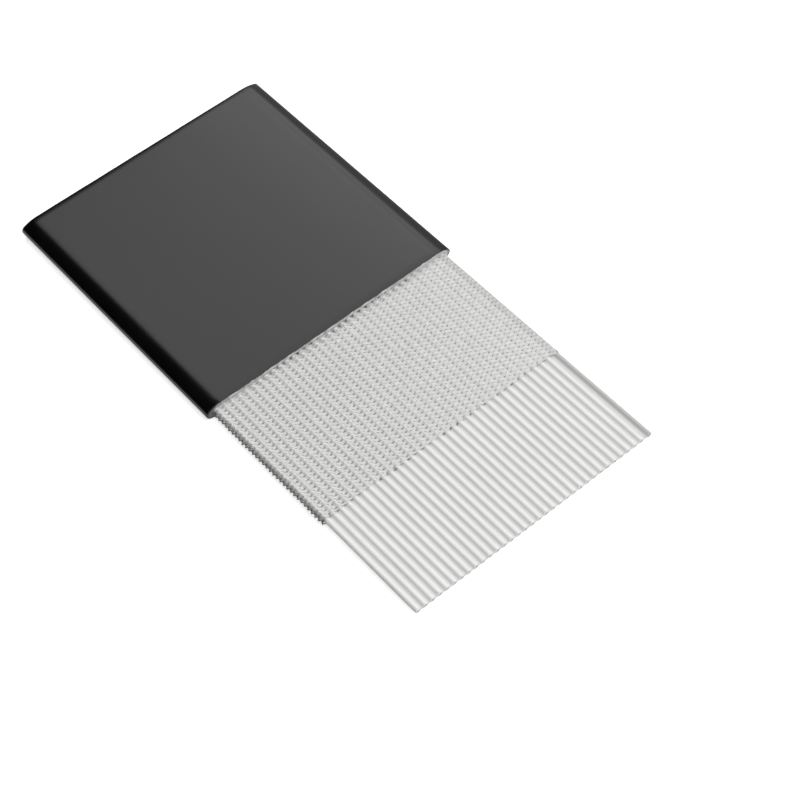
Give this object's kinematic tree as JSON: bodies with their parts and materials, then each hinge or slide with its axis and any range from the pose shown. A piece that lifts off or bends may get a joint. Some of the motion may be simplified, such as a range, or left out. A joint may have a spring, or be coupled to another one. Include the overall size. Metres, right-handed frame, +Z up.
{
  "type": "shielded ribbon cable",
  "caption": "Flat shielded ribbon cable sample: oval black jacket cut back to bare a silver expanded-mesh shield, then a ridged light-grey ribbon of stranded conductors.",
  "frame": {"origin": "middle of the sample's footprint, on the surface that the jacket lies on", "axes": "+X across the cable, +Y along it from the stripped ribbon end to the jacket's back end, +Z up"},
  "size_m": [0.0456, 0.091, 0.0027],
  "materials": {
    "jacket_pvc": "satin black PVC",
    "shield_mesh": "tinned copper mesh",
    "ribbon_pvc": "satin light-grey PVC",
    "conductor_copper": "tinned copper, cut ends"
  },
  "bodies": {
    "root": {"jacket": "jacket_pvc", "shield": "shield_mesh", "ribbon_insulation": "ribbon_pvc", "conductor_01": "conductor_copper", "conductor_02": "conductor_copper", "conductor_03": "conductor_copper", "conductor_04": "conductor_copper", "conductor_05": "conductor_copper", "conductor_06": "conductor_copper", "conductor_07": "conductor_copper", "conductor_08": "conductor_copper", "conductor_09": "conductor_copper", "conductor_10": "conductor_copper", "conductor_11": "conductor_copper", "conductor_12": "conductor_copper", "conductor_13": "conductor_copper", "conductor_14": "conductor_copper", "conductor_15": "conductor_copper", "conductor_16": "conductor_copper", "conductor_17": "conductor_copper", "conductor_18": "conductor_copper", "conductor_19": "conductor_copper", "conductor_20": "conductor_copper", "conductor_21": "conductor_copper", "conductor_22": "conductor_copper", "conductor_23": "conductor_copper", "conductor_24": "conductor_copper", "conductor_25": "conductor_copper", "conductor_26": "conductor_copper", "conductor_27": "conductor_copper", "conductor_28": "conductor_copper", "conductor_29": "conductor_copper", "conductor_30": "conductor_copper", "conductor_31": "conductor_copper", "conductor_32": "conductor_copper", "conductor_33": "conductor_copper", "conductor_34": "conductor_copper"}
  },
  "joints": []
}
